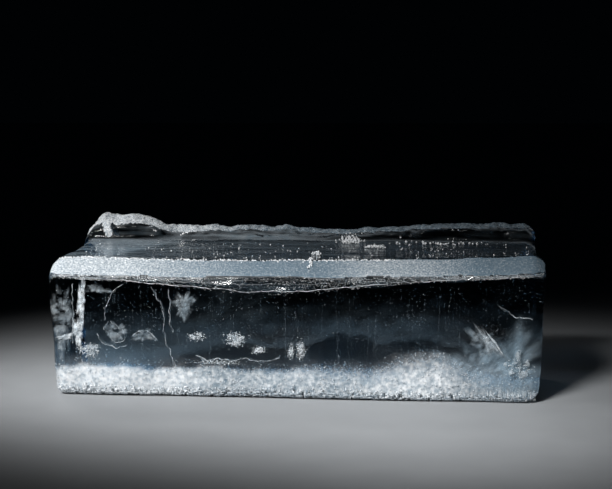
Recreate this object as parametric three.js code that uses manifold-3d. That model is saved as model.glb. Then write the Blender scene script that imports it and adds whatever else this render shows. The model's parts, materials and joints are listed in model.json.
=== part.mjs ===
// A block of clear ice: one long bar, split from a larger slab and part melted.
// A bevel runs along the top of its front, a wet shelf lies behind the bevel, and a broken ridge
// stands along the back where the slab above was snapped away.
// Millimetres, +Z up. The origin is under the middle of the block, on the surface that it rests on.

import * as THREE from "three";
import { ImprovedNoise } from "three/addons/math/ImprovedNoise.js";
import { mergeVertices } from "three/addons/utils/BufferGeometryUtils.js";
import Module from "manifold-3d";

const { clamp, degToRad, lerp, smoothstep } = THREE.MathUtils;

// The bar
const LENGTH = 300;
const DEPTH = 100;
const FRONT_HEIGHT = 76; // floor to the lower edge of the bevel
const FRONT_SAG = 2.8; // how far that edge dips at mid length
const FRONT_LEAN = 1.8; // how far it climbs from mid length to the right end
const BASE_TAPER = 0.022; // share by which the base is shorter than the top
const BASE_PINCH = 0.03; // share by which the base is less deep than the top
const BACK_TAPER = 0.026; // share by which the back is shorter than the front

// Bevel, shelf and ridge, as distances back from the front face and heights
const BEVEL_DEPTH = 15;
const BEVEL_RISE = 9.5;
const SHELF_BACK_HEIGHT = 88.5; // floor to the foot of the ridge
const SHELF_DISH = 1.2; // how far the melted shelf is hollowed between bevel and ridge
const RIDGE_THICKNESS = 21;
const RIDGE_WANDER = 3; // how far the foot of the ridge strays forwards and back
const LIP_SETBACK = 1.6; // how far the steep front of the ridge leans back
const CREST_SETBACK = 11; // from the foot of the ridge to its crest
const RIDGE_BACK_DROP = 2.5; // how far the ridge falls from its crest to the back face

// Heights along the ridge, left to right: its lip, where the steep front ends, and its crest.
const LIP_LINE = [
  [-150, 92],
  [-130, 97.5],
  [-106, 97],
  [-88, 91.5],
  [-60, 90],
  [4, 90],
  [30, 92.5],
  [62, 95.5],
  [98, 98],
  [150, 96.5],
];
const CREST_LINE = [
  [-150, 97],
  [-136, 105],
  [-116, 104.6],
  [-90, 97.6],
  [-20, 97.4],
  [22, 95],
  [36, 96.4],
  [95, 99.8],
  [150, 100.4],
];

// Melt: rounded edges and the slow waves on every face
const LEFT_ROUND = 8;
const RIGHT_ROUND = 12;
const FACE_ROUND = 6; // front and back edges, in plan and at the base
const BASE_ROUND = 7; // height of the rounding at the base
const END_MELT = 4; // how far the top drops at the two ends
const END_MELT_RUN = 9; // length over which it drops
const MELT_WAVE = 1.3;
const MELT_WAVELENGTH = 34;
const BREAK_WAVE = 1.8; // roughness of the broken ridge
const BREAK_WAVELENGTH = 10;
const LIP_ROUGHNESS = 0.5; // the lip's share of that roughness
const SHELF_STREAK = 0.6; // low waves of the shelf, drawn out along the length
const STREAK_LENGTH = 60;

// Where each wave starts in the noise, so that no two are alike
const FOOT_START = 7;
const LIP_START = 1;
const CREST_START = 2;
const BACK_START = 3;
const STREAK_START = 4;
const LENGTH_START = 11;
const DEPTH_START = 23;

// Shallow shells spalled off the front edge: place along the length, half length and drop
const SPALLS = [
  { x: -84, half: 26, drop: 2.2 },
  { x: -46, half: 34, drop: 4.4 },
  { x: -14, half: 36, drop: 7.4 },
  { x: 48, half: 26, drop: 5 },
  { x: 97, half: 10, drop: 2.6 },
];
const SPALL_BITE = 1.8; // how deep each shell goes into the front face
const SPALL_ROUNDNESS = 7; // how far each cutting ellipsoid reaches in depth

// Corners knocked off: where each facet's middle lies, how it faces, and how wide a piece it takes
const CHIP_TURN = degToRad(20); // how far each piece is turned about the way it faces
const CHIPS = [
  { at: [148.5, -36, 87], facing: [1, -0.1, 0.75], size: 26 },
  { at: [-149, -45, 80], facing: [-0.85, -0.5, 0.8], size: 22 },
  { at: [-148.5, 44, 88], facing: [-1, 0.25, 0.55], size: 34 },
  { at: [146, 47, 12], facing: [0.7, 0.7, -0.6], size: 30 },
  { at: [-60, 49, 95], facing: [0.15, 0.6, 0.9], size: 24 },
  { at: [84, 48.5, 96.5], facing: [-0.2, 0.75, 0.8], size: 30 },
];

// Rows of the faceted surface
const LENGTH_ROWS = 54;
const HEIGHT_ROWS = 11;
const BEVEL_ROWS = 3;
const SHELF_ROWS = 5;
const RIDGE_ROWS = 2;
const END_CROWDING = 0.72; // how much closer rows lie near the ends, 0 to 1
const SHELL_SEGMENTS = 24;

const ICE_COLOUR = 0xc4d3dd;
const ICE_ROUGHNESS = 0.12;

const wasm = await Module();
wasm.setup();
const perlin = new ImprovedNoise();

function wave({ x, y = 0, z = 0 }, length, start) {
  return perlin.noise(x / length + start, y / length - start, z / length + start / 2);
}

// Shares 0 to 1 that lie closer together near both ends.
function crowd(share) {
  return share - (END_CROWDING * Math.sin(2 * Math.PI * share)) / (2 * Math.PI);
}

// Height at x on a line that eases from each point to the next.
function along(line, x) {
  const next = clamp(
    line.findIndex(([end]) => end >= x),
    1,
    line.length - 1,
  );
  const [x0, z0] = line[next - 1];
  const [x1, z1] = line[next];
  return lerp(z0, z1, smoothstep(x, x0, x1));
}

function frontEdge(x) {
  const share = (2 * x) / LENGTH;
  return FRONT_HEIGHT + FRONT_LEAN * share - FRONT_SAG * (1 - share * share);
}

// The corners of the top of the block at x, front to back, joined by straight runs. Each has its
// distance back from the front and its height, and rows is how many rows of facets its run takes.
function topSection(x) {
  const foot = DEPTH - RIDGE_THICKNESS + RIDGE_WANDER * wave({ x }, MELT_WAVELENGTH, FOOT_START);
  const rough = (start) => BREAK_WAVE * wave({ x }, BREAK_WAVELENGTH, start);
  const lip = along(LIP_LINE, x) + LIP_ROUGHNESS * rough(LIP_START);
  const crest = along(CREST_LINE, x);
  return [
    { back: 0, height: frontEdge(x) },
    { back: BEVEL_DEPTH, height: frontEdge(x) + BEVEL_RISE, rows: BEVEL_ROWS },
    { back: foot, height: SHELF_BACK_HEIGHT, rows: SHELF_ROWS, dish: SHELF_DISH },
    { back: foot + LIP_SETBACK, height: lip, rows: 1 },
    { back: foot + CREST_SETBACK, height: crest + rough(CREST_START), rows: RIDGE_ROWS },
    { back: DEPTH, height: crest - RIDGE_BACK_DROP + rough(BACK_START), rows: RIDGE_ROWS },
  ];
}

const DEPTH_ROWS = topSection(0).reduce((sum, { rows = 0 }) => sum + rows, 0);

// Where a row of facets lies on the top section: its distance back and its height.
function topRow(x, row) {
  const section = topSection(x);
  let first = 0;
  let run = 1;
  while (run < section.length - 1 && row > first + section[run].rows) {
    first += section[run].rows;
    run += 1;
  }
  const share = (row - first) / section[run].rows;
  const streak = SHELF_STREAK * wave({ x }, STREAK_LENGTH, STREAK_START + row);
  const dish = (section[run].dish ?? 0) * Math.sin(Math.PI * share) * (1 + streak);
  return {
    back: lerp(section[run - 1].back, section[run].back, share),
    height: lerp(section[run - 1].height, section[run].height, share) - dish,
  };
}

function endMelt(x) {
  const fromEnd = LENGTH / 2 - Math.abs(x);
  return END_MELT * (1 - smoothstep(fromEnd, 0, END_MELT_RUN)) ** 2;
}

// Rounds the upright edges and the edges of the base. Each square corner is drawn in to a quarter disc.
function roundEdges(point) {
  const xRound = point.x < 0 ? LEFT_ROUND : RIGHT_ROUND;
  const round = new THREE.Vector3(xRound, FACE_ROUND, BASE_ROUND);
  const inner = new THREE.Vector3(
    clamp(point.x, LEFT_ROUND - LENGTH / 2, LENGTH / 2 - RIGHT_ROUND),
    clamp(point.y, FACE_ROUND - DEPTH / 2, DEPTH / 2 - FACE_ROUND),
    Math.max(point.z, BASE_ROUND),
  );
  const out = point.clone().sub(inner).divide(round);
  const reach = Math.max(Math.abs(out.x), Math.abs(out.y), Math.abs(out.z));
  return reach > 0 ? inner.add(out.setLength(reach).multiply(round)) : point;
}

// Slow waves left by melting. The base stays flat, so nothing there is lifted.
function melt(point) {
  const alongLength = MELT_WAVE * wave(point, MELT_WAVELENGTH, LENGTH_START);
  const alongDepth = MELT_WAVE * wave(point, MELT_WAVELENGTH, DEPTH_START);
  return point.add(new THREE.Vector3(alongLength, alongDepth, 0));
}

// A point of the box's surface, as shares of its length, depth and height, moved to the block's surface.
function shapePoint(lengthShare, depthShare, heightShare) {
  const x = (crowd(lengthShare) - 0.5) * LENGTH;
  const { back, height } = topRow(x, Math.round(depthShare * DEPTH_ROWS));
  const rise = crowd(heightShare);
  const point = roundEdges(new THREE.Vector3(x, back - DEPTH / 2, rise * (height - endMelt(x))));
  point.x *= 1 - BASE_TAPER * (1 - rise) - (BACK_TAPER * back) / DEPTH;
  point.y *= 1 - BASE_PINCH * (1 - rise);
  return melt(point);
}

function barGeometry() {
  const box = new THREE.BoxGeometry(1, 1, 1, LENGTH_ROWS, DEPTH_ROWS, HEIGHT_ROWS);
  const places = box.attributes.position;
  for (let i = 0; i < places.count; i += 1) {
    const point = shapePoint(places.getX(i) + 0.5, places.getY(i) + 0.5, places.getZ(i) + 0.5);
    places.setXYZ(i, point.x, point.y, point.z);
  }
  return box;
}

// A shallow ellipsoid that bites into the front face just under the bevel.
function spallGeometry({ x, half, drop }) {
  const inside = 1 - SPALL_BITE / SPALL_ROUNDNESS;
  const spread = 1 / Math.sqrt(1 - inside * inside);
  return new THREE.SphereGeometry(1, SHELL_SEGMENTS, SHELL_SEGMENTS / 2)
    .scale(half * spread, SPALL_ROUNDNESS, drop * spread)
    .translate(x, -DEPTH / 2 - SPALL_ROUNDNESS * inside, frontEdge(x));
}

// A slightly turned box whose near face is the flat that is left when the corner breaks away.
function chipGeometry({ at, facing, size }) {
  const outwards = new THREE.Vector3(...facing).normalize();
  const turn = new THREE.Quaternion().setFromUnitVectors(new THREE.Vector3(0, 0, 1), outwards);
  return new THREE.BoxGeometry(size, size, size)
    .rotateZ(CHIP_TURN)
    .applyQuaternion(turn)
    .translate(...outwards.multiplyScalar(size / 2).add(new THREE.Vector3(...at)).toArray());
}

function toSolid(geometry) {
  geometry.deleteAttribute("normal");
  geometry.deleteAttribute("uv");
  const merged = mergeVertices(geometry);
  return new wasm.Manifold(
    new wasm.Mesh({
      numProp: 3,
      vertProperties: merged.attributes.position.array,
      triVerts: new Uint32Array(merged.index.array),
    }),
  );
}

function toGeometry(solid) {
  const { vertProperties, triVerts } = solid.getMesh();
  const geometry = new THREE.BufferGeometry();
  geometry.setAttribute("position", new THREE.BufferAttribute(vertProperties, 3));
  geometry.setIndex(new THREE.BufferAttribute(triVerts, 1));
  return geometry;
}

// Puts the middle of the block's footprint over the origin.
function centre(geometry) {
  geometry.computeBoundingBox();
  const middle = geometry.boundingBox.getCenter(new THREE.Vector3());
  return geometry.translate(-middle.x, -middle.y, -geometry.boundingBox.min.z);
}

function iceBlock() {
  const cutters = [...SPALLS.map(spallGeometry), ...CHIPS.map(chipGeometry)];
  const solid = cutters.reduce((left, cutter) => left.subtract(toSolid(cutter)), toSolid(barGeometry()));
  const geometry = centre(toGeometry(solid));
  geometry.computeVertexNormals();
  const ice = new THREE.MeshStandardMaterial({
    color: ICE_COLOUR,
    roughness: ICE_ROUGHNESS,
    metalness: 0,
    flatShading: true,
  });
  const mesh = new THREE.Mesh(geometry, ice);
  mesh.name = "ice_block";
  return mesh;
}

const block = new THREE.Group();
block.add(iceBlock());

export default block;
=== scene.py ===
# %% [markdown]
# # A block of clear ice
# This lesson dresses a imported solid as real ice. The solid gives the size and the main shape: a long bar
# with a bevel, a wet shelf and a broken ridge. Blender adds what makes it ice: melted relief, see-through
# material, frost, a cloudy base full of bubbles, and cracks that catch the light.

# %% Load the frame
import json
import math

import bpy
import numpy as np
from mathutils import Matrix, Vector
from mathutils.bvhtree import BVHTree

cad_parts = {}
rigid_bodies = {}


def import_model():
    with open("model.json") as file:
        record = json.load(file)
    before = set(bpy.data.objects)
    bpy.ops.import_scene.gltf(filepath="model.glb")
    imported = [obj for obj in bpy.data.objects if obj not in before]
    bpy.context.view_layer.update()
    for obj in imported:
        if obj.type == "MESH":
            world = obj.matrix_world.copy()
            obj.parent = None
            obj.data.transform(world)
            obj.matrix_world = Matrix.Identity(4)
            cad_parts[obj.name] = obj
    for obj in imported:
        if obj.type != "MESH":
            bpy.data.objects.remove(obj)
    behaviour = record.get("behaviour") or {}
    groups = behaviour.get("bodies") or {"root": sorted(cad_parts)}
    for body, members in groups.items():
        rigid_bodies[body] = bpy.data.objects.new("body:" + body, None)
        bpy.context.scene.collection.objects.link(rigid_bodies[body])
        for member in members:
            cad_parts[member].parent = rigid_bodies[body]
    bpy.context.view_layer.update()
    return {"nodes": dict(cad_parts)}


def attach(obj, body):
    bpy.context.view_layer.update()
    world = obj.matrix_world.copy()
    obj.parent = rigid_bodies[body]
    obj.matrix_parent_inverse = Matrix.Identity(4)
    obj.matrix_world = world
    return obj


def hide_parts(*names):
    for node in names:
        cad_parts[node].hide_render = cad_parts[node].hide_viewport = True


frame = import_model()
MM = 0.001

# %% [markdown]
# ## Camera
# A long lens from a little above and to the right of the middle shows the front face, the bevel and the
# shelf at once. Its place was fitted to the edges of the block, so it is written as plain millimetres.

# %% Camera
LENS = 85.0
SENSOR = 36.0
CAMERA_PLACE = Vector((95, -895, 172)) * MM
LOOK_DOWN = math.radians(5.27)
LOOK_LEFT = math.radians(5.85)

turn = (math.pi / 2 - LOOK_DOWN, 0, LOOK_LEFT)
bpy.ops.object.camera_add(location=CAMERA_PLACE, rotation=turn)
camera = bpy.context.object
camera.data.lens = LENS
camera.data.sensor_width = SENSOR
bpy.context.scene.camera = camera
print("camera is", round(CAMERA_PLACE.length, 3), "m from the block")

# %% [markdown]
# ## Small helpers
# Operators act on what is selected, so every step starts by selecting one piece alone. A modifier is
# added, set and applied in one go, and a node is added with its values and links in one call. Many looks
# change from the left end to the right, so one helper reads a share at a place along the block.

# %% Helpers
SEED = 7
rng = np.random.default_rng(SEED)


def only(piece):
    bpy.ops.object.select_all(action="DESELECT")
    piece.select_set(True)
    bpy.context.view_layer.objects.active = piece


def modify(piece, kind, **settings):
    only(piece)
    modifier = piece.modifiers.new(kind.title(), kind)
    for name, value in settings.items():
        setattr(modifier, name, value)
    bpy.ops.object.modifier_apply(modifier=modifier.name)


def new_piece(name, mesh):
    piece = bpy.data.objects.new(name, mesh)
    bpy.context.scene.collection.objects.link(piece)
    return piece


def read(items, field, width=3):
    values = np.empty(len(items) * width, np.float32)
    items.foreach_get(field, values)
    return values.reshape(-1, width).squeeze()


def ramp(values, low, high):
    share = np.clip((values - low) / (high - low), 0, 1)
    return share * share * (3 - 2 * share)


def add_node(tree, kind, values=(), **settings):
    made = tree.nodes.new(kind)
    for name, value in settings.items():
        setattr(made, name, value)
    for name, value in dict(values).items():
        if isinstance(value, bpy.types.NodeSocket):
            tree.links.new(value, made.inputs[name])
        else:
            made.inputs[name].default_value = value
    return made


def noise(tree, where, scale, detail):
    values = {"Vector": where, "Scale": scale, "Detail": detail}
    return add_node(tree, "ShaderNodeTexNoise", values).outputs["Fac"]


def stretched(tree, where, scale):
    return add_node(tree, "ShaderNodeMapping", {"Vector": where, "Scale": scale}).outputs[0]


def attribute(tree, name):
    return add_node(tree, "ShaderNodeAttribute", attribute_name=name).outputs["Fac"]


def calculate(tree, operation, *values, clamp=False):
    made = add_node(tree, "ShaderNodeMath", dict(enumerate(values)), operation=operation, use_clamp=clamp)
    return made.outputs[0]


def remap(tree, value, low, high, start=0, end=1):
    limits = {"From Min": start, "From Max": end, "To Min": low, "To Max": high}
    return add_node(tree, "ShaderNodeMapRange", {"Value": value, **limits}).outputs[0]


def blend(tree, share, first, second):
    return add_node(tree, "ShaderNodeMix", {0: share, 6: first, 7: second}, data_type="RGBA").outputs[2]


def bump(tree, height, strength, distance, under=None):
    made = add_node(tree, "ShaderNodeBump", {"Height": height, "Strength": strength, "Distance": distance})
    if under:
        tree.links.new(under, made.inputs["Normal"])
    return made.outputs[0]


def pick_faces(piece, chosen):
    mesh = piece.data
    for items in (mesh.vertices, mesh.edges):
        items.foreach_set("select", np.zeros(len(items), bool))
    mesh.polygons.foreach_set("select", chosen)
    only(piece)
    bpy.context.tool_settings.mesh_select_mode = (False, False, True)
    bpy.ops.object.mode_set(mode="EDIT")


def delete_faces(piece, chosen):
    pick_faces(piece, chosen)
    bpy.ops.mesh.delete(type="FACE")
    bpy.ops.object.mode_set(mode="OBJECT")


def triangles(piece):
    return sum(len(face.vertices) - 2 for face in piece.data.polygons)


def along(x, places, shares):
    return np.interp(x, np.array(places) * MM, shares)


print("random numbers start from seed", SEED)

# %% [markdown]
# ## The body
# The real block was split from a slab and then melted, so its faces are never quite flat. A copy of the
# solid is welded, remeshed into even small quads and smoothed. Displace modifiers then add slow melt waves,
# small ripples and the rough break of the ridge. The base stays flat, so that it still rests on the floor.

# %% Body from the solid
VOXEL = 1.25 * MM
WELD = 0.01 * MM
SMOOTHING = 7

body = new_piece("ice_body", frame["nodes"]["ice_block"].data.copy())
only(body)
bpy.ops.object.mode_set(mode="EDIT")
bpy.ops.mesh.select_all(action="SELECT")
bpy.ops.mesh.remove_doubles(threshold=WELD)
bpy.ops.object.mode_set(mode="OBJECT")
modify(body, "REMESH", mode="VOXEL", voxel_size=VOXEL, use_smooth_shade=True)
modify(body, "SMOOTH", factor=0.5, iterations=SMOOTHING)
print("body:", triangles(body), "triangles")

# %% Melt waves and broken ridge
SHELF_BACK = 29 * MM
RIDGE_FOOT = 88.5 * MM


def clouds(name, size, detail=1):
    texture = bpy.data.textures.new(name, "CLOUDS")
    texture.noise_scale = size
    texture.noise_depth = detail
    return texture


def weigh(piece, name, weights):
    group = piece.vertex_groups.new(name=name)
    for index, weight in enumerate(weights):
        if weight > 0:
            group.add([index], float(weight), "REPLACE")
    return name


place = read(body.data.vertices, "co")
off_base = ramp(place[:, 2], 1 * MM, 6 * MM)
behind_shelf = ramp(place[:, 1], SHELF_BACK, SHELF_BACK + 3 * MM)
on_ridge = behind_shelf * ramp(place[:, 2], RIDGE_FOOT, RIDGE_FOOT + 4 * MM)
melt_group = weigh(body, "melt", off_base)
ridge_group = weigh(body, "ridge", on_ridge)
RELIEF = [
    ("swell", 24 * MM, 1.0 * MM, melt_group),
    ("ripple", 7 * MM, 0.28 * MM, melt_group),
    ("break", 9 * MM, 2.4 * MM, ridge_group),
    ("splinter", 3.5 * MM, 1.1 * MM, ridge_group),
]
for name, size, height, group in RELIEF:
    modify(body, "DISPLACE", texture=clouds(name, size), strength=height, mid_level=0.5, vertex_group=group)
only(body)
bpy.ops.object.shade_smooth()
print("relief:", [name for name, *_ in RELIEF])

# %% [markdown]
# ## Where the frost lies
# Frost is rough ice. The bevel is frosted from end to end, the ridge carries a cap that is deepest at its
# left end, with one pillar down its face, and a band under the bevel is a little rough where shells have
# spalled off. Painting weights by hand would do, but a formula of place and slope is easier to repeat.
# The share is kept on the body as an attribute, which its material reads, and the frost pieces below use
# the same measure.

# %% Frost measure
BEVEL_BACK = -35 * MM
RIDGE_FRONT = 26 * MM
FRONT = -50 * MM
CAP_PLACES = (-150, -128, -100, -70, -40, 0, 150)
CAP_DEPTHS = (7.0, 6.5, 5.2, 3.6, 3.0, 2.4, 2.6)
PILLAR = -131 * MM
PILLAR_TOP = 97 * MM
PILLAR_LEAN = 0.3
PILLAR_EDGE = (1.8 * MM, 4.2 * MM)
CREST_STEP = 4 * MM
HALF_LENGTH = 150 * MM
EDGE_HEIGHT = 76
EDGE_RISE = 1.8
EDGE_SAG = 2.8
SPALL_LEAST = 1.5 * MM
SPALL_MORE = 7.5 * MM
SPALL_MIDDLE = -12 * MM
SPALL_WIDTH = 62 * MM
SPALL_FROST = 0.2

spot = read(body.data.vertices, "co")
facing = read(body.data.vertices, "normal")
on_top = spot[spot[:, 1] > SHELF_BACK]
crest_places = np.arange(-148 * MM, 149 * MM, CREST_STEP)
crest_tops = [on_top[np.abs(on_top[:, 0] - x) < CREST_STEP, 2].max() for x in crest_places]


def front_edge(x):
    share = x / HALF_LENGTH
    return (EDGE_HEIGHT + EDGE_RISE * share - EDGE_SAG * (1 - share * share)) * MM


def over_foot(z):
    return ramp(z, RIDGE_FOOT - 1 * MM, RIDGE_FOOT + 1 * MM)


def bevel_cover(spot, facing):
    edge = front_edge(spot[:, 0])
    above = ramp(spot[:, 2], edge - 0.5 * MM, edge + 0.9 * MM)
    ahead = 1 - ramp(spot[:, 1], BEVEL_BACK - 1.5 * MM, BEVEL_BACK + 1 * MM)
    return above * ahead * ramp(facing[:, 2], 0.3, 0.6)


def ridge_cover(spot, facing):
    x, y, z = spot.T
    back = ramp(y, SHELF_BACK - 1 * MM, SHELF_BACK + 1.5 * MM)
    cap = np.interp(x, np.array(CAP_PLACES) * MM, np.array(CAP_DEPTHS) * MM)
    below = np.interp(x, crest_places, crest_tops) - z
    capped = ramp(facing[:, 2], -0.3, 0.1) * (1 - ramp(below, 0.7 * cap, 1.3 * cap))
    off_pillar = np.abs(x - PILLAR - PILLAR_LEAN * (PILLAR_TOP - z))
    pillar = (1 - ramp(off_pillar, *PILLAR_EDGE)) * over_foot(z)
    return back * np.maximum(capped, pillar)


def spall_reach(x):
    return SPALL_LEAST + SPALL_MORE * np.exp(-(((x - SPALL_MIDDLE) / SPALL_WIDTH) ** 2))


def spall_cover(spot, facing):
    under = 1 - ramp(front_edge(spot[:, 0]) - spot[:, 2], 0.3 * MM, spall_reach(spot[:, 0]))
    return under * ramp(-facing[:, 1], 0.6, 0.9) * ramp(spot[:, 2], 60 * MM, 64 * MM)


def shelf_cover(spot, facing):
    behind_bevel = ramp(spot[:, 1], BEVEL_BACK, BEVEL_BACK + 3 * MM)
    before_ridge = 1 - ramp(spot[:, 1], RIDGE_FRONT, SHELF_BACK)
    return behind_bevel * before_ridge * ramp(facing[:, 2], 0.6, 0.85)


def ridge_face(spot, facing):
    risen = ramp(spot[:, 1], RIDGE_FRONT, RIDGE_FRONT + 2 * MM) * over_foot(spot[:, 2])
    return risen * ramp(-facing[:, 1], 0.25, 0.5)


def keep_value(piece, name, values):
    kept = piece.data.attributes.get(name) or piece.data.attributes.new(name, "FLOAT", "POINT")
    kept.data.foreach_set("value", np.asarray(values, np.float32))


frost = bevel_cover(spot, facing) + ridge_cover(spot, facing) + SPALL_FROST * spall_cover(spot, facing)
frost = np.clip(frost, 0, 1)
keep_value(body, "frost", frost)
keep_value(body, "shelf", shelf_cover(spot, facing))
print("frosted share of the surface:", round(float(frost.mean()), 3))

# %% [markdown]
# ## Clear ice
# Ice bends light less than glass, with an index of 1.31, and takes red out of it over a long way. Those
# are plain values on the shader and its volume. Only the roughness and the bump come from nodes: faint
# grooves run down the faces, streaks run along the shelf, and the frosted share makes the surface rough.
# Light from a lamp can't be traced well through a bending surface, so shadow rays see a plain tint
# instead: on the way in to the bubbles it is clear, and on the way out to the floor it is dark, as the
# shadow of thick ice is.

# %% Clear ice material
ICE_INDEX = 1.31
ICE_TINT = (0.4, 0.59, 0.71, 1)
ICE_DENSITY = 20.0
ICE_SHADOW = (0.04, 0.05, 0.06, 1)
ICE_ROUGHNESS = (0.02, 0.5)
WHITE = (1, 1, 1, 1)
DOWN_FACES = (1, 1, 0.06)
ALONG_SHELF = (0.07, 1, 1)
SHELF_MATT = 0.16


def ice_material():
    material = bpy.data.materials.new("clear_ice")
    material.use_nodes = True
    tree = material.node_tree
    shader = tree.nodes["Principled BSDF"]
    shader.inputs["Base Color"].default_value = WHITE
    shader.inputs["Transmission Weight"].default_value = 1
    shader.inputs["IOR"].default_value = ICE_INDEX
    where = add_node(tree, "ShaderNodeTexCoord").outputs["Object"]
    frost = attribute(tree, "frost")
    grooves = noise(tree, stretched(tree, where, DOWN_FACES), 520, 3)
    streaks = noise(tree, stretched(tree, where, ALONG_SHELF), 260, 4)
    fine = calculate(tree, "MULTIPLY", noise(tree, where, 1400, 2), frost)
    drawn = calculate(tree, "MULTIPLY", streaks, attribute(tree, "shelf"))
    matt = calculate(tree, "MULTIPLY_ADD", drawn, SHELF_MATT, frost)
    relief = bump(tree, grooves, 0.1, 0.0004)
    relief = bump(tree, drawn, 0.3, 0.0012, relief)
    relief = bump(tree, fine, 0.6, 0.0005, relief)
    tree.links.new(remap(tree, matt, *ICE_ROUGHNESS), shader.inputs["Roughness"])
    tree.links.new(relief, shader.inputs["Normal"])
    ray = add_node(tree, "ShaderNodeLightPath").outputs["Is Shadow Ray"]
    leaving = add_node(tree, "ShaderNodeNewGeometry").outputs["Backfacing"]
    passing = blend(tree, leaving, ICE_SHADOW, WHITE)
    lamp_light = add_node(tree, "ShaderNodeBsdfTransparent", {"Color": passing}).outputs[0]
    both = add_node(tree, "ShaderNodeMixShader", {0: ray, 1: shader.outputs[0], 2: lamp_light})
    tree.links.new(both.outputs[0], tree.nodes["Material Output"].inputs["Surface"])
    inside = add_node(tree, "ShaderNodeVolumeAbsorption", {"Color": ICE_TINT, "Density": ICE_DENSITY})
    tree.links.new(inside.outputs[0], tree.nodes["Material Output"].inputs["Volume"])
    return material


def dress(piece, material):
    piece.data.materials.clear()
    piece.data.materials.append(material)
    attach(piece, "root")
    print(piece.name, "has", triangles(piece), "triangles")


dress(body, ice_material())
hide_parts("ice_block")

# %% [markdown]
# ## White ice
# Frost and bubbles are white because light meets thousands of small faces. At this scale each grain is a
# small rough white body, so the materials are plain white shaders whose colour and roughness vary. Frost
# turns blue-grey where it is thin, in speckles, by a share kept on each piece. On the milky core and the
# frost along the base the same share is painted shade: darker towards the right, and on the core also
# underneath. Films of air are see-through in wisps, and the attribute "fade" thins them towards their
# edges.

# %% White materials
SPECKLE = 1.5
MOTTLE_ENDS = (0.35, 0.65)
ROUGHNESS_SPREAD = 0.12
WISP_END = 0.7
EVEN = (1, 1, 1)
ALONG = (0.05, 1, 1)
FROST_SHADE = (0.13, 0.19, 0.24)
FROST_TONES = ((0.34, 0.4, 0.45), (0.95, 0.97, 0.98))
BUBBLE_TONES = ((0.86, 0.9, 0.93), (0.96, 0.97, 0.98))
DUST_TONES = ((0.34, 0.46, 0.54), (0.6, 0.7, 0.77))
CRACK_TONES = ((0.7, 0.77, 0.82), (0.95, 0.97, 0.98))
VEIL_TONES = ((0.6, 0.7, 0.77), (0.85, 0.9, 0.93))
FOG_TONES = ((0.42, 0.54, 0.62), (0.6, 0.7, 0.77))
STREAK_TONES = ((0.36, 0.5, 0.6), (0.72, 0.83, 0.9))
CRACK_WISPS = (0.95, 0.3, 420, EVEN)
VEIL_WISPS = (0.3, 0.35, 240, EVEN)
FOG_WISPS = (0.42, 0.1, 120, EVEN)
STREAK_WISPS = (0.3, 0.46, 330, ALONG)


def white_material(name, tones, scale, roughness, wisps=None, shade=None):
    material = bpy.data.materials.new(name)
    material.use_nodes = True
    tree = material.node_tree
    shader = tree.nodes["Principled BSDF"]
    shader.inputs["IOR"].default_value = ICE_INDEX
    where = add_node(tree, "ShaderNodeTexCoord").outputs["Object"]
    mottle = noise(tree, where, scale, 4)
    tone = add_node(tree, "ShaderNodeValToRGB", {"Fac": mottle})
    for stop, position, colour in zip(tone.color_ramp.elements, MOTTLE_ENDS, tones):
        stop.position = position
        stop.color = (*colour, 1)
    rough = remap(tree, mottle, roughness - ROUGHNESS_SPREAD, roughness + ROUGHNESS_SPREAD)
    colour = tone.outputs[0]
    if shade:
        # The share turns the colour blue-grey: thin frost on the bevel and ridge, painted shade on the milk
        # and base frost.
        speckle = calculate(tree, "MULTIPLY_ADD", mottle, SPECKLE, -0.5 * SPECKLE)
        rime_and_shade = calculate(tree, "ADD", attribute(tree, "rime_and_shade"), speckle, clamp=True)
        colour = blend(tree, rime_and_shade, (*shade, 1), colour)
    tree.links.new(colour, shader.inputs["Base Color"])
    tree.links.new(rough, shader.inputs["Roughness"])
    if wisps:
        most, first, grain, stretch = wisps
        veil = remap(tree, noise(tree, stretched(tree, where, stretch), grain, 5), 0, most, first, WISP_END)
        seen = calculate(tree, "MULTIPLY", veil, attribute(tree, "fade"))
        tree.links.new(seen, shader.inputs["Alpha"])
    return material


frost_white = white_material("frost_white", FROST_TONES, 1100, 0.5, shade=FROST_SHADE)
bubble_white = white_material("bubble_white", BUBBLE_TONES, 300, 0.35)
dust_white = white_material("dust_white", DUST_TONES, 300, 0.5)
crack_white = white_material("crack_white", CRACK_TONES, 300, 0.35, CRACK_WISPS)
veil_white = white_material("veil_white", VEIL_TONES, 200, 0.4, VEIL_WISPS)
fog_white = white_material("fog_white", FOG_TONES, 90, 0.5, FOG_WISPS)
streak_white = white_material("streak_white", STREAK_TONES, 200, 0.4, STREAK_WISPS)
print("white materials:", [material.name for material in bpy.data.materials if "white" in material.name])

# %% [markdown]
# ## Frost crust
# The frost on the bevel and the ridge is a thin crust of grains, and thinner rime lies in streaks on the
# shelf and on the face of the ridge. A bump alone would keep the outline smooth, so each is real mesh:
# its faces are copied from the body, the rest of the copy is deleted in edit mode, and what is left is
# cut finer, roughened and given a thickness.

# %% Frost crust
CRUST_LIFT = 0.15 * MM
CRUST_THICKNESS = 0.35 * MM
RIDGE_SHARES = (0.95, 0.95, 0.9, 0.75, 0.35, 0.12, 0.12)
RIME_PLACES = (-150, -100, -60, -20, 20, 45, 80, 110, 150)
RIME_SHARES = (0.6, 0.58, 0.26, 0.02, 0.06, 0.42, 0.38, 0.02, 0.0)
SHELF_PLACES = (-110 * MM, -50 * MM)
SHELF_LEAST = 0.25
FACE_PLACES = (-150, -60, -40, 40, 70, 150)
FACE_SHARES = (0.05, 0.25, 0.7, 0.6, 0.1, 0.06)


def rime_share(x):
    return along(x, RIME_PLACES, RIME_SHARES)


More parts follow.
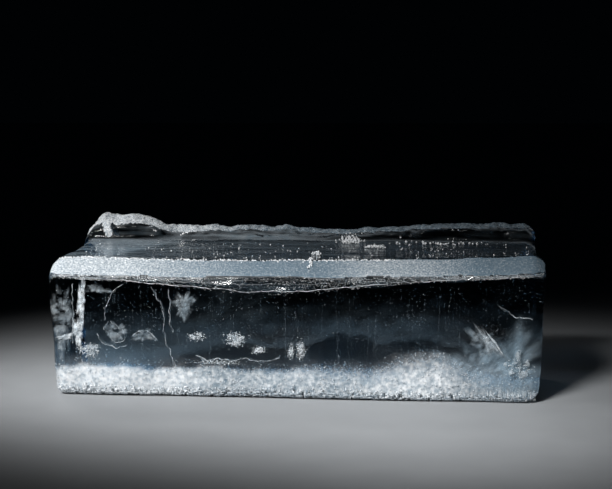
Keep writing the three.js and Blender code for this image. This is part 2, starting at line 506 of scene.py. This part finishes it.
def crust(name, keep, lumps, cuts=1, soften=3):
    piece = new_piece(name, body.data.copy())
    piece.data.materials.clear()
    pick_faces(piece, ~keep)
    bpy.ops.mesh.delete(type="FACE")
    bpy.ops.mesh.select_all(action="SELECT")
    if cuts:
        bpy.ops.mesh.subdivide(number_cuts=cuts)
    bpy.ops.object.mode_set(mode="OBJECT")
    if soften:
        modify(piece, "SMOOTH", factor=0.5, iterations=soften)
    modify(piece, "DISPLACE", strength=CRUST_LIFT, mid_level=0)
    for index, (size, height) in enumerate(lumps):
        texture = clouds(f"{name}_lumps_{index}", size * MM, 2)
        modify(piece, "DISPLACE", texture=texture, strength=height * MM, mid_level=0.5)
    modify(piece, "SOLIDIFY", thickness=CRUST_THICKNESS, offset=-1)
    keep_value(piece, "rime_and_shade", rime_share(read(piece.data.vertices, "co")[:, 0]))
    only(piece)
    bpy.ops.object.shade_smooth()
    return piece


centre = read(body.data.polygons, "center")
towards = read(body.data.polygons, "normal")
ragged = rng.uniform(0.35, 0.6, len(centre))
bevel_frost = crust("bevel_frost", bevel_cover(centre, towards) > ragged, [(1.2, 0.5)])
dress(bevel_frost, frost_white)
ridge_frost = crust("ridge_frost", ridge_cover(centre, towards) > ragged, [(5.0, 1.4), (1.6, 0.9)])
place = read(ridge_frost.data.vertices, "co")
keep_value(ridge_frost, "rime_and_shade", along(place[:, 0], CAP_PLACES, RIDGE_SHARES))
dress(ridge_frost, frost_white)
shelf_rime = crust("shelf_rime", shelf_cover(centre, towards) > 0.5, [(4.0, 0.2)], cuts=0)
place = read(shelf_rime.data.vertices, "co")
keep_value(shelf_rime, "fade", SHELF_LEAST + (1 - SHELF_LEAST) * (1 - ramp(place[:, 0], *SHELF_PLACES)))
dress(shelf_rime, streak_white)
face_rime = crust("face_rime", ridge_face(centre, towards) > 0.5, [(3.0, 0.3)], cuts=0)
place = read(face_rime.data.vertices, "co")
keep_value(face_rime, "fade", along(place[:, 0], FACE_PLACES, FACE_SHARES))
dress(face_rime, streak_white)

# %% [markdown]
# ## Many small things
# Bubbles and grains repeat thousands of times, so one small seed is modelled and its copies are joined into
# one mesh with arrays. The seed is an eight-sided spindle: at half a millimetre nobody can see its facets.

# %% Seed and swarm
bpy.ops.mesh.primitive_cone_add(vertices=4, radius1=0.5, radius2=0, depth=0.5, location=(0, 0, 0.25))
seed_piece = bpy.context.object
bpy.ops.object.transform_apply(location=True)
pick_faces(seed_piece, read(seed_piece.data.polygons, "normal")[:, 2] < -0.9)
bpy.ops.mesh.poke(offset=0.5)
bpy.ops.object.mode_set(mode="OBJECT")
seed_points = read(seed_piece.data.vertices, "co")
seed_faces = np.array([face.vertices[:] for face in seed_piece.data.polygons])
bpy.data.objects.remove(seed_piece)


def random_turns(count, upright):
    quaternion = rng.normal(size=(count, 4))
    if upright:
        quaternion[:, 1:3] = 0
    w, x, y, z = (quaternion / np.linalg.norm(quaternion, axis=1, keepdims=True)).T
    rows = [
        [1 - 2 * (y * y + z * z), 2 * (x * y - w * z), 2 * (x * z + w * y)],
        [2 * (x * y + w * z), 1 - 2 * (x * x + z * z), 2 * (y * z - w * x)],
        [2 * (x * z - w * y), 2 * (y * z + w * x), 1 - 2 * (x * x + y * y)],
    ]
    return np.moveaxis(np.array(rows), 2, 0)


def swarm(name, points, sizes, upright=False):
    turns = random_turns(len(points), upright)
    turned = np.einsum("nij,nvj->nvi", turns, seed_points * sizes[:, None, :])
    corners = (turned + points[:, None, :]).reshape(-1, 3)
    firsts = np.arange(len(points))[:, None, None] * len(seed_points)
    mesh = bpy.data.meshes.new(name)
    mesh.from_pydata(corners, [], (seed_faces + firsts).reshape(-1, seed_faces.shape[1]))
    piece = new_piece(name, mesh)
    only(piece)
    bpy.ops.object.shade_smooth()
    return piece


skin = BVHTree.FromObject(body, bpy.context.evaluated_depsgraph_get())
print("the seed has", len(seed_faces), "faces")


def depth_in_ice(points):
    found = [skin.find_nearest(point) for point in points]
    nearest = np.array([hit[0] for hit in found])
    outward = np.array([hit[1] for hit in found])
    return -np.einsum("ij,ij->i", points - nearest, outward)


def within(points, margin):
    return points[depth_in_ice(points) > margin]


def spread(low, high, count):
    return rng.uniform(np.array(low) * MM, np.array(high) * MM, (count, 3))


# %% [markdown]
# ## Grains and snow
# Loose grains sit on the frost, splinters fill the spalled band below it, and crumbs of snow lie on the
# shelf and along the foot of the ridge. Each is dropped on the body with a ray, so that it rests on the
# surface.

# %% Grains on the bevel
GRAIN_COUNT = 9000
EDGE_COUNT = 420
EDGE_SHARE = 0.75
ABOVE = 120
AHEAD = -80 * MM
DOWN = Vector((0, 0, -1))
INWARD = Vector((0, 1, 0))


def settle(starts, direction):
    hits = [skin.ray_cast(Vector(start), direction)[0] for start in starts]
    return np.array([hit for hit in hits if hit])


def even_sizes(low, high, count, flat=1.0):
    sizes = rng.uniform(low, high, (count, 1)) * MM
    return np.hstack([sizes, sizes, sizes * flat])


starts = spread((-148, -50, ABOVE), (149, -34.5, ABOVE), GRAIN_COUNT)
starts = starts[rng.uniform(size=GRAIN_COUNT) < rime_share(starts[:, 0])]
points = settle(starts, DOWN)
grains = swarm("bevel_grains", points, even_sizes(0.35, 0.85, len(points)))
keep_value(grains, "rime_and_shade", rime_share(read(grains.data.vertices, "co")[:, 0]))
dress(grains, frost_white)

row = np.column_stack([
    np.linspace(-146, 60, EDGE_COUNT) * MM,
    BEVEL_BACK + rng.normal(0, 0.7 * MM, EDGE_COUNT),
    np.full(EDGE_COUNT, ABOVE * MM),
])
points = settle(row[rng.uniform(size=EDGE_COUNT) < EDGE_SHARE], DOWN)
dress(swarm("edge_grains", points, even_sizes(0.9, 1.6, len(points))), bubble_white)

# %% Splinters under the bevel
SPLINTER_COUNT = 1500
CLUSTER_COUNT = 45
CLUSTERS = [(21, 5), (38, 4), (40, 5), (108, 4), (121, 5)]

x = rng.uniform(-146, 148, SPLINTER_COUNT) * MM
for place, width in CLUSTERS:
    x = np.append(x, rng.normal(place, width / 2, CLUSTER_COUNT) * MM)
drop = rng.uniform(0, 1, len(x)) ** 1.6 * (spall_reach(x) + 1 * MM)
starts = np.column_stack([x, np.full(len(x), AHEAD), front_edge(x) - drop])
points = settle(starts, INWARD)
points[:, 1] += rng.uniform(-0.1, 0.5, len(points)) * MM
dress(swarm("splinters", points, even_sizes(0.2, 0.6, len(points))), bubble_white)

# %% Snow on the shelf
CLUMPS = [(29, 27, 3.6, 2.0, 170), (46, 11, 3.0, 1.5, 80), (11, -12, 1.2, 1.0, 30), (10, -38, 0.6, 4.0, 30)]
ROW_COUNT = 34
SPECK_COUNT = 170

heaps = [
    np.column_stack([rng.normal(x, wide, count), rng.normal(y, deep, count), np.full(count, ABOVE)]) * MM
    for x, y, wide, deep, count in CLUMPS
]
row = np.column_stack([
    rng.uniform(58, 112, ROW_COUNT),
    rng.normal(26, 2.0, ROW_COUNT),
    np.full(ROW_COUNT, ABOVE),
]) * MM
loose = spread((-135, -34, ABOVE), (142, 28, ABOVE), SPECK_COUNT)
heap_points = settle(np.vstack(heaps), DOWN)
heap_points[:, 2] += rng.uniform(0, 1.6, len(heap_points)) * MM
dress(swarm("snow_clumps", heap_points, even_sizes(0.7, 1.7, len(heap_points))), bubble_white)
row_points = settle(row, DOWN)
dress(swarm("ridge_specks", row_points, even_sizes(1.2, 2.6, len(row_points))), bubble_white)
speck_points = settle(loose, DOWN)
dress(swarm("snow_specks", speck_points, even_sizes(0.5, 1.5, len(speck_points), 0.6)), bubble_white)

# %% [markdown]
# ## Cloudy base
# The last water to freeze traps its air, so the foot of the block is white. The milk itself is a copy of
# the body drawn in a little and cut off above, because scattering in a volume would take far longer to
# render. How milky it is depends on the place: at the left it stops at a wavy level, at the right it
# thins out upwards. Its white is painted darker towards the right and on its underside: painted shade of
# the light from the left. Bubbles in front of it give it grain, and short upright tubes stand at the
# bottom like bristles.

# %% Milky core
CORE_INSET = 2.0 * MM
CORE_TOP = 30 * MM
CORE_VOXEL = 2.0 * MM
CORE_DROP = 1.8 * MM
CORE_FOOT = 0.3 * MM
CLOUD_HEIGHT = 18
CLOUD_WAVES = ((1.0, 11 * MM), (0.7, 4.3 * MM), (0.5, 1.9 * MM))
CLOUD_SLOPE = 0.13
# How bright the milk is painted along the block: painted shade, falling off away from the light at the
# left.
CORE_PLACES = (-150, -70, -50, 30, 60, 85, 105, 130, 150)
CORE_PAINTED_LIGHT = (1.0, 1.0, 0.48, 0.45, 0.76, 0.76, 0.46, 0.28, 0.2)
MILK_TONES = ((0.66, 0.72, 0.77), (0.97, 0.98, 0.99))


def cloud_level(x):
    height = CLOUD_HEIGHT
    for wave, length in CLOUD_WAVES:
        height = height + wave * np.sin(x / length)
    return height * MM


def milk_share(spot):
    x, y, z = spot.T
    level = cloud_level(x) - (y - FRONT) * CLOUD_SLOPE
    right = ramp(x, -30 * MM, 60 * MM)
    softness = 1.7 * MM + 10 * MM * right
    dense = 1 - ramp(z, level - softness, level + softness)
    hem = 0.05 * (1 - ramp(z, level + 3 * MM, level + 9 * MM))
    rise = 9 * MM * np.exp(-(((x - 78 * MM) / (22 * MM)) ** 2))
    dense = np.maximum(dense, 1 - ramp(z - rise, level - softness, level + softness))
    notch = np.exp(-(((x - 108 * MM) / (8 * MM)) ** 2) - (((z - 24 * MM) / (5 * MM)) ** 2))
    thin = 1 - 0.72 * ramp(x, 95 * MM, 132 * MM)
    return np.clip(np.maximum(dense ** (1 + right), hem) * thin * (1 - notch), 0, 1)


core = new_piece("cloud_core", body.data.copy())
core.vertex_groups.clear()
modify(core, "DISPLACE", strength=-CORE_INSET, mid_level=0)
only(core)
bpy.ops.object.mode_set(mode="EDIT")
bpy.ops.mesh.select_all(action="SELECT")
bpy.ops.mesh.bisect(plane_co=(0, 0, CORE_TOP), plane_no=(0, 0, 1), use_fill=True, clear_outer=True)
bpy.ops.object.mode_set(mode="OBJECT")
modify(core, "REMESH", mode="VOXEL", voxel_size=CORE_VOXEL, use_smooth_shade=True)
modify(core, "SMOOTH", factor=0.5, iterations=4)
modify(core, "DISPLACE", texture=clouds("core_lumps", 8 * MM, 2), strength=1.2 * MM, mid_level=0.6)
place = read(core.data.vertices, "co")
place[:, 2] -= CORE_DROP * (1 - ramp(place[:, 2], 1 * MM, 9 * MM))
place[:, 2] = np.maximum(place[:, 2], CORE_FOOT)
core.data.vertices.foreach_set("co", place.ravel())
keep_value(core, "milk", milk_share(place))
# The milk is painted darker along the block and where it faces down: painted shade.
underside_shade = ramp(-read(core.data.vertices, "normal")[:, 2], 0.3, 0.8)
tone = along(place[:, 0], CORE_PLACES, CORE_PAINTED_LIGHT)
keep_value(core, "rime_and_shade", tone * (1 - 0.9 * underside_shade))


def milk_material():
    material = white_material("milk_white", MILK_TONES, 420, 0.5, shade=FROST_SHADE)
    tree = material.node_tree
    where = add_node(tree, "ShaderNodeTexCoord").outputs["Object"]
    uneven = remap(tree, noise(tree, where, 220, 4), 0.75, 1.15, 0.3, 0.7)
    share = calculate(tree, "MULTIPLY", attribute(tree, "milk"), uneven, clamp=True)
    tree.links.new(share, tree.nodes["Principled BSDF"].inputs["Alpha"])
    return material


dress(core, milk_material())

# %% Bubbles in the milk
CLOUD_COUNT = 31000
CLOUD_TRIES = 7
CLOUD_NAMES = ("cloud_left", "cloud_right")

points = spread((-150, -50, 0), (150, 50, 40), CLOUD_TRIES * CLOUD_COUNT)
near_side = np.minimum(np.abs(points[:, 1] - FRONT), np.abs(-FRONT - points[:, 1]))
share = milk_share(points) * (0.25 + 0.75 * np.exp(-near_side / (9 * MM)))
points = points[rng.uniform(size=len(points)) < share]
points = within(points, 0.5 * MM)[:CLOUD_COUNT]
halves = points[:, 0] > 0
for name, part in zip(CLOUD_NAMES, (points[~halves], points[halves])):
    sizes = np.repeat(rng.uniform(0.35, 0.8, (len(part), 1)) * MM, 3, axis=1)
    dress(swarm(name, part, sizes), bubble_white)

# %% Bristles
BRISTLE_COUNT = 16000
BRISTLE_FOOT = 0.8 * MM

points = within(spread((-150, -50, 1), (150, 50, 9), BRISTLE_COUNT), 0.9 * MM)
sizes = np.column_stack([
    rng.uniform(0.25, 0.45, len(points)),
    rng.uniform(0.25, 0.45, len(points)),
    rng.uniform(2.0, 8.0, len(points)),
]) * MM
points[:, 2] = BRISTLE_FOOT + sizes[:, 2] / 2
dress(swarm("bristles", points, sizes, upright=True), bubble_white)

# %% [markdown]
# ## Cracks
# A crack in ice is a thin film of air, and it shows white where it catches the light. A broad crack is a
# grid with a ragged outline, bent by a displacement, trimmed where it would leave the ice and given a
# little thickness. The fog at the right end is the same film with a soft edge. Where only the edge of a
# crack shows, a thin curve with a round section is enough, and a faint sheet swept back from it gives the
# crack some depth.

# %% Crack films
FILM_THICKNESS = 0.12 * MM
FILM_FADE = 0.22
FILM_MARGIN = 1.2 * MM
FILM_CELLS = 44
FILM_RADIUS = 0.4
RAGGED = ((3, 0.07), (7, 0.05), (17, 0.03))
BENDS = ((9, 1.0), (2.5, 0.35))


def film(name, middle, size, turn, bend, material, soft=FILM_FADE, share=1.0):
    bpy.ops.mesh.primitive_grid_add(x_subdivisions=FILM_CELLS, y_subdivisions=FILM_CELLS, size=1)
    piece = bpy.context.object
    piece.name = name
    starts = rng.uniform(0, 6.3, len(RAGGED))

    def inside(points):
        x, y, _ = points.T
        angle = np.arctan2(y, x)
        waves = [height * np.sin(turns * angle + start) for (turns, height), start in zip(RAGGED, starts)]
        return FILM_RADIUS + sum(waves) - np.hypot(x, y)

    keep_value(piece, "fade", share * ramp(inside(read(piece.data.vertices, "co")), 0, soft))
    delete_faces(piece, inside(read(piece.data.polygons, "center")) < 0)
    piece.scale = (size[0] * MM, size[1] * MM, 1)
    piece.rotation_euler = [math.radians(angle) for angle in turn]
    piece.location = Vector(middle) * MM
    bpy.ops.object.transform_apply(location=True, rotation=True, scale=True)
    for step, part in BENDS:
        texture = clouds(f"{name}_bend_{step}", step * MM, 1)
        modify(piece, "DISPLACE", texture=texture, strength=bend * part * MM, mid_level=0.5)
    delete_faces(piece, depth_in_ice(read(piece.data.polygons, "center")) < FILM_MARGIN)
    modify(piece, "SOLIDIFY", thickness=FILM_THICKNESS, offset=0)
    dress(piece, material)


EDGE_ON = (90, 0, 90)
film("left_crack", (-128.5, -45.5, 60), (7, 40), EDGE_ON, 1.6, veil_white, share=0.4)
film("left_crack_low", (-130.5, -45.5, 39), (7, 26), EDGE_ON, 4.5, veil_white, share=0.4)
film("left_crack_face", (-128.3, -45.5, 59), (6.5, 42), (86, 3, 0), 1.2, crack_white)
film("left_crack_foot", (-131, -45, 39), (9, 26), (84, -4, 0), 3.0, crack_white)
film("left_patch", (-124, -43, 28), (19, 10), (80, 8, 0), 3.0, crack_white, share=0.4)
film("left_branch", (-139, -44, 35.5), (14, 5), (90, -14, 0), 2.0, crack_white)
film("left_margin", (-141, -43, 46), (16, 56), (88, 0, 6), 4.0, veil_white)
film("veil_top", (-120, -43, 65), (26, 7), (84, 4, 0), 3.0, veil_white)
film("veil_right", (-66, -42, 56), (18, 22), (84, 10, 0), 4.0, veil_white)
film("petal", (-108, -43, 39), (18, 16), (78, 20, 10), 4.0, veil_white)
film("petal_small", (-91, -43, 37), (17, 10), (82, -10, -8), 4.0, veil_white)
film("patch_far_left", (-58, -45, 37), (12, 7), (80, 0, 10), 4.0, crack_white, share=0.4)
film("patch_left", (-34, -45, 35.5), (14, 10), (75, 12, 0), 6.0, crack_white, share=0.4)
film("patch_middle", (-20.5, -45, 29.5), (10, 5), (80, -8, 5), 4.0, crack_white, share=0.4)
film("tuft_left", (-1, -45, 29), (5, 13), (84, 6, 0), 3.0, crack_white, share=0.4)
film("tuft_right", (5, -45, 30), (7, 15), (84, -5, 0), 4.0, crack_white, share=0.4)
film("streak", (116.5, -43, 36), (34, 9), (84, 50, 0), 1.0, crack_white, soft=0.45, share=0.6)
film("streak_core", (120, -45, 36), (24, 1.8), (84, 54, 0), 0.6, crack_white)
film("streak_glow", (113, -38, 35), (30, 18), (84, 50, 0), 3.0, veil_white)
film("fog_end", (131, -40, 22), (52, 62), (88, 12, -6), 3.0, fog_white, soft=0.4)
film("fog_hump", (108, -38, 20), (66, 44), (86, 0, 4), 4.0, fog_white, soft=0.4)
film("haze_left", (-35, -38, 52), (120, 50), (87, 0, 2), 5.0, fog_white, soft=0.4, share=0.03)
film("haze_right", (52, -36, 46), (120, 48), (87, 4, -3), 5.0, fog_white, soft=0.4, share=0.03)
film("fog_low", (132, -34, 14), (48, 44), (88, -10, 8), 3.0, fog_white, soft=0.4)

# %% Crack edges
LINES = [
    (0.2, [(-134, 4, 68), (-134.5, 5, 57), (-133.3, 5, 47), (-134, 4, 32)]),
    (0.18, [(-128.4, 4, 22.5), (-126, 4, 18), (-123.5, 3, 15)]),
    (0.17, [(-103, 4, 68), (-109.4, 5, 65.4), (-111, 6, 58), (-114, 6, 54), (-114.5, 5, 46)]),
    (0.19, [(-119, 6, 38), (-117, 6, 33), (-112, 5, 31.5), (-107, 5, 28.5), (-101, 5, 31)]),
    (0.16, [(-98, 5, 36), (-94, 5, 41), (-90, 5, 39), (-87, 5, 40.5), (-83, 4, 34)]),
    (0.17, [(-111.2, 5, 45.4), (-106.3, 6, 42.7), (-101.6, 6, 38.4), (-100.8, 6, 34.2), (-108.2, 5, 32.6),
            (-112.8, 5, 36.6), (-115.3, 5, 42), (-111.8, 5, 45.6)]),
    (0.2, [(-85.6, 4, 67), (-80.8, 5, 59), (-77.5, 5, 53.4), (-78.4, 5, 45.4), (-77.5, 5, 34.2),
           (-73.6, 4, 25.6), (-70.4, 3, 15.2)]),
    (0.16, [(-74.5, 3, 65.4), (-74, 3, 56.8), (-72.8, 3, 39)]),
    (0.17, [(-58, 3, 26), (-51, 3, 21), (-45, 3, 27), (-36, 3, 20.5), (-27, 3, 27), (-17, 3, 20.5),
            (-7, 3, 26)]),
    (0.2, [(122.4, 3, 58.4), (128, 4, 53), (134, 4, 50), (138, 4, 51.5), (142.5, 4, 51)]),
    (0.18, [(131.5, 5, 24), (132, 5, 30), (134, 5, 33), (135.5, 5, 29), (134, 5, 24.5), (131.7, 5, 24)]),
]
SWEEP = (-0.5 * MM, 3.5 * MM, -0.2 * MM)
SWEEPS = 2
WOBBLE = ((5, 2.4), (1.6, 1.0))
EDGE_FADE = 0.5


def draw(path):
    curve = bpy.data.curves.new("crack_edge", "CURVE")
    curve.dimensions = "3D"
    curve.resolution_u = 10
    line = curve.splines.new("NURBS")
    line.points.add(len(path) - 1)
    line.order_u = 4
    line.use_endpoint_u = True
    for point, (x, depth, z) in zip(line.points, path):
        point.co = (x * MM, FRONT + depth * MM, z * MM, 1)
        point.radius = rng.uniform(0.5, 1.4)
    return curve


def to_mesh(curve):
    piece = new_piece("crack_edge", curve)
    only(piece)
    bpy.ops.object.convert(target="MESH")
    return bpy.context.object


def hairline(radius, path):
    curve = draw(path)
    curve.bevel_depth = radius * MM
    curve.bevel_resolution = 1
    curve.use_fill_caps = True
    return to_mesh(curve)


def curtain(path):
    piece = to_mesh(draw(path))
    bpy.ops.object.mode_set(mode="EDIT")
    bpy.ops.mesh.select_all(action="SELECT")
    for _ in range(SWEEPS):
        bpy.ops.mesh.extrude_edges_move(TRANSFORM_OT_translate={"value": SWEEP})
    bpy.ops.object.mode_set(mode="OBJECT")
    return piece


def gather(name, pieces):
    only(pieces[0])
    for piece in pieces:
        piece.select_set(True)
    bpy.ops.object.join()
    pieces[0].name = name
    return pieces[0]


def wobble(piece, steps):
    for step, height in steps:
        texture = clouds(f"{piece.name}_{step}", step * MM)
        strength = height * MM
        modify(piece, "DISPLACE", texture=texture, strength=strength, direction="RGB_TO_XYZ", mid_level=0.5)


edges = gather("crack_edges", [hairline(radius, path) for radius, path in LINES])
wobble(edges, WOBBLE)
keep_value(edges, "fade", np.full(len(edges.data.vertices), EDGE_FADE))
dress(edges, crack_white)
sheets = gather("crack_sheets", [curtain(path) for _, path in LINES])
wobble(sheets, WOBBLE)
depth = read(sheets.data.vertices, "co")[:, 1] - FRONT
keep_value(sheets, "fade", 1 - ramp(depth, 5 * MM, 12 * MM))
modify(sheets, "SOLIDIFY", thickness=FILM_THICKNESS, offset=0)
dress(sheets, veil_white)

# %% [markdown]
# ## Lips and air pockets
# Where a shell of ice has broken off under the bevel, its lower lip shows as a bright line. Three curves
# are laid on the front with rays, so that they follow the body, and the lowest is the brightest. A few
# pockets of air sit in the right end: round balls, squeezed and made uneven.

# %% Lips under the bevel
LIP_X = np.linspace(-146, 147, 60)
LIP_STEPS = [(0.5, 0.1), (1.0, 0.35), (1.6, 0.85)]
LIP_RADIUS = 0.2
LIP_WOBBLE = ((14, 1.6), (2.5, 0.8))


def lip_path(drop, share):
    x = LIP_X * MM
    z = front_edge(x) - drop * MM - share * (spall_reach(x) - SPALL_LEAST)
    hits = settle(np.column_stack([x, np.full(len(x), AHEAD), z]), INWARD)
    return [(hit[0] / MM, (hit[1] - FRONT) / MM, hit[2] / MM) for hit in hits]


lips = gather("bevel_lips", [hairline(LIP_RADIUS, lip_path(*step)) for step in LIP_STEPS])
wobble(lips, LIP_WOBBLE)
place = read(lips.data.vertices, "co")
lowness = (front_edge(place[:, 0]) - place[:, 2]) / spall_reach(place[:, 0])
keep_value(lips, "fade", 0.2 + 0.6 * ramp(lowness, 0.5, 0.8))
dress(lips, crack_white)

# %% Air pockets at the right end
POCKETS = [
    (133.5, 28, 1.5, 3.0),
    (136.5, 17.5, 2.6, 2.2),
    (129.5, 19, 1.3, 1.6),
    (139, 24, 1.0, 2.6),
    (126, 23, 1.2, 1.2),
]
POCKET_DEPTH = -44 * MM
POCKET_WOBBLE = ((3, 1.5),)
POCKET_FADE = 0.6


def pocket(x, z, wide, tall):
    middle = (x * MM, POCKET_DEPTH, z * MM)
    bpy.ops.mesh.primitive_ico_sphere_add(subdivisions=3, radius=MM, location=middle)
    piece = bpy.context.object
    piece.scale = (wide, 0.7 * wide, tall)
    bpy.ops.object.transform_apply(location=True, rotation=True, scale=True)
    return piece


pockets = gather("air_pockets", [pocket(*values) for values in POCKETS])
wobble(pockets, POCKET_WOBBLE)
keep_value(pockets, "fade", np.full(len(pockets.data.vertices), POCKET_FADE))
dress(pockets, crack_white)

# %% [markdown]
# ## Fine bubbles, flakes and grains
# Air leaves the freezing front in upright rows of very small bubbles, and single bubbles hang between them.
# Small flakes gather where cracks end, grains lie on the spalled band, and the frost along the base is a
# stipple of loose crust. All are seen as fine texture only, so they are swarms of the same seed, and the
# stipple keeps faces of the body at random.

# %% Dotted streaks
COLUMN_COUNT = 230
LOOSE_COUNT = 2600

column_x = rng.uniform(-140, 140, COLUMN_COUNT)
dots = []
for x in column_x:
    top = rng.uniform(35, 72)
    low = max(22, top - rng.uniform(6, 40))
    count = int((top - low) * rng.uniform(0.3, 1.0))
    lean = rng.normal(0, 0.03)
    z = rng.uniform(low, top, count)
    depth = rng.uniform(1.0, 9)
    dots.append(np.column_stack([x + lean * (z - low), np.full(count, FRONT / MM + depth), z]))
dots = within(np.vstack(dots) * MM, 0.4 * MM)
dress(swarm("dotted_streaks", dots, even_sizes(0.12, 0.3, len(dots))), dust_white)
haze = within(spread((-146, -49, 22), (146, 45, 74), LOOSE_COUNT), 1.0 * MM)
dress(swarm("sparse_bubbles", haze, even_sizes(0.12, 0.5, len(haze))), bubble_white)

# %% Flakes
FLAKES = [
    (-124, 28, 8, 4, 220),
    (-58, 37, 5, 2.5, 110),
    (-34, 35.5, 6, 4.5, 240),
    (-20.5, 29.5, 4.5, 2.2, 120),
    (-1, 29, 1.6, 5, 90),
    (5, 30, 2.5, 5.5, 130),
    (-45, 21.5, 13, 1.2, 180),
    (134, 22, 7, 6, 120),
]
FLAKE_DEPTH = -45

flakes = []
for x, z, wide, tall, count in FLAKES:
    flakes.append(rng.normal((x, FLAKE_DEPTH, z), (wide / 2, 1.2, tall / 2), (count, 3)))
flakes = within(np.vstack(flakes) * MM, 0.6 * MM)
sizes = np.column_stack([
    rng.uniform(0.3, 1.5, len(flakes)),
    rng.uniform(0.3, 1.2, len(flakes)),
    rng.uniform(0.1, 0.25, len(flakes)),
]) * MM
dress(swarm("flakes", flakes, sizes), bubble_white)

# %% Spalled band and base
SPALL_COUNT = 1500
STIPPLE_SHARE = 0.7

x = rng.uniform(-146, 147, SPALL_COUNT) * MM
z = front_edge(x) - rng.uniform(0.1, 1.0, SPALL_COUNT) * spall_reach(x)
hits = settle(np.column_stack([x, np.full(SPALL_COUNT, AHEAD), z]), INWARD)
dress(swarm("spall_grains", hits, even_sizes(0.12, 0.4, len(hits))), dust_white)


def base_cover(spot, facing):
    upright = 1 - ramp(np.abs(facing[:, 2]), 0.75, 0.95)
    low = 1 - ramp(spot[:, 2], 1.5 * MM, 9 * MM)
    return upright * low * ramp(spot[:, 2], 0.5 * MM, 1.0 * MM)


stipple = STIPPLE_SHARE * base_cover(centre, towards) > rng.uniform(0.05, 1.0, len(centre))
base_frost = crust("base_frost", stipple, [(1.2, 0.3)], cuts=0, soften=0)
place = read(base_frost.data.vertices, "co")
# The frost along the base is painted darker towards the right, like the milk: painted shade of the light
# from the left.
keep_value(base_frost, "rime_and_shade", along(place[:, 0], CORE_PLACES, CORE_PAINTED_LIGHT))
dress(base_frost, frost_white)

# %% [markdown]
# ## Stage
# A pale floor and three soft lights: a wide one from the front left, a small one at the left end and a
# faint one from behind. Their beams are narrow, so the floor behind the block stays dark, and the clear
# ice in front of it reads as clear.

# %% Floor and lights
FLOOR_SIZE = 40.0
FLOOR_TONES = ((0.44, 0.46, 0.48), (0.46, 0.48, 0.5))
DARK = (0.0003, 0.0006, 0.0009, 1)

bpy.ops.object.select_all(action="DESELECT")
bpy.ops.mesh.primitive_plane_add(size=FLOOR_SIZE)
floor = bpy.context.object
floor.name = "floor"
floor.data.materials.append(white_material("pale_floor", FLOOR_TONES, 40, 0.6))


def softbox(name, place, aim, size, power, spread_angle):
    bpy.ops.object.light_add(type="AREA", location=Vector(place) * MM)
    lamp = bpy.context.object
    lamp.name = name
    lamp.data.shape = "RECTANGLE"
    lamp.data.size = size[0] * MM
    lamp.data.size_y = size[1] * MM
    lamp.data.energy = power
    lamp.data.spread = math.radians(spread_angle)
    lamp.rotation_euler = (Vector(aim) - Vector(place)).to_track_quat("-Z", "Y").to_euler()
    print(name, "gives", power, "watts")


softbox("key_light", (-260, -560, 430), (-30, -60, 34), (460, 90), 0.36, 25)
softbox("back_light", (-330, 330, 500), (-40, -60, 30), (300, 100), 0.03, 26)
softbox("left_light", (-620, -160, 190), (-100, -10, 40), (200, 260), 0.05, 40)

world = bpy.data.worlds.new("dark_studio")
bpy.context.scene.world = world
world.use_nodes = True
world.node_tree.nodes["Background"].inputs["Color"].default_value = DARK

scene = bpy.context.scene
scene.cycles.use_denoising = True
scene.cycles.max_bounces = 16
scene.cycles.transmission_bounces = 12
scene.cycles.transparent_max_bounces = 24
scene.cycles.diffuse_bounces = 8
scene.cycles.caustics_reflective = False
scene.cycles.caustics_refractive = False
scene.view_settings.view_transform = "Standard"
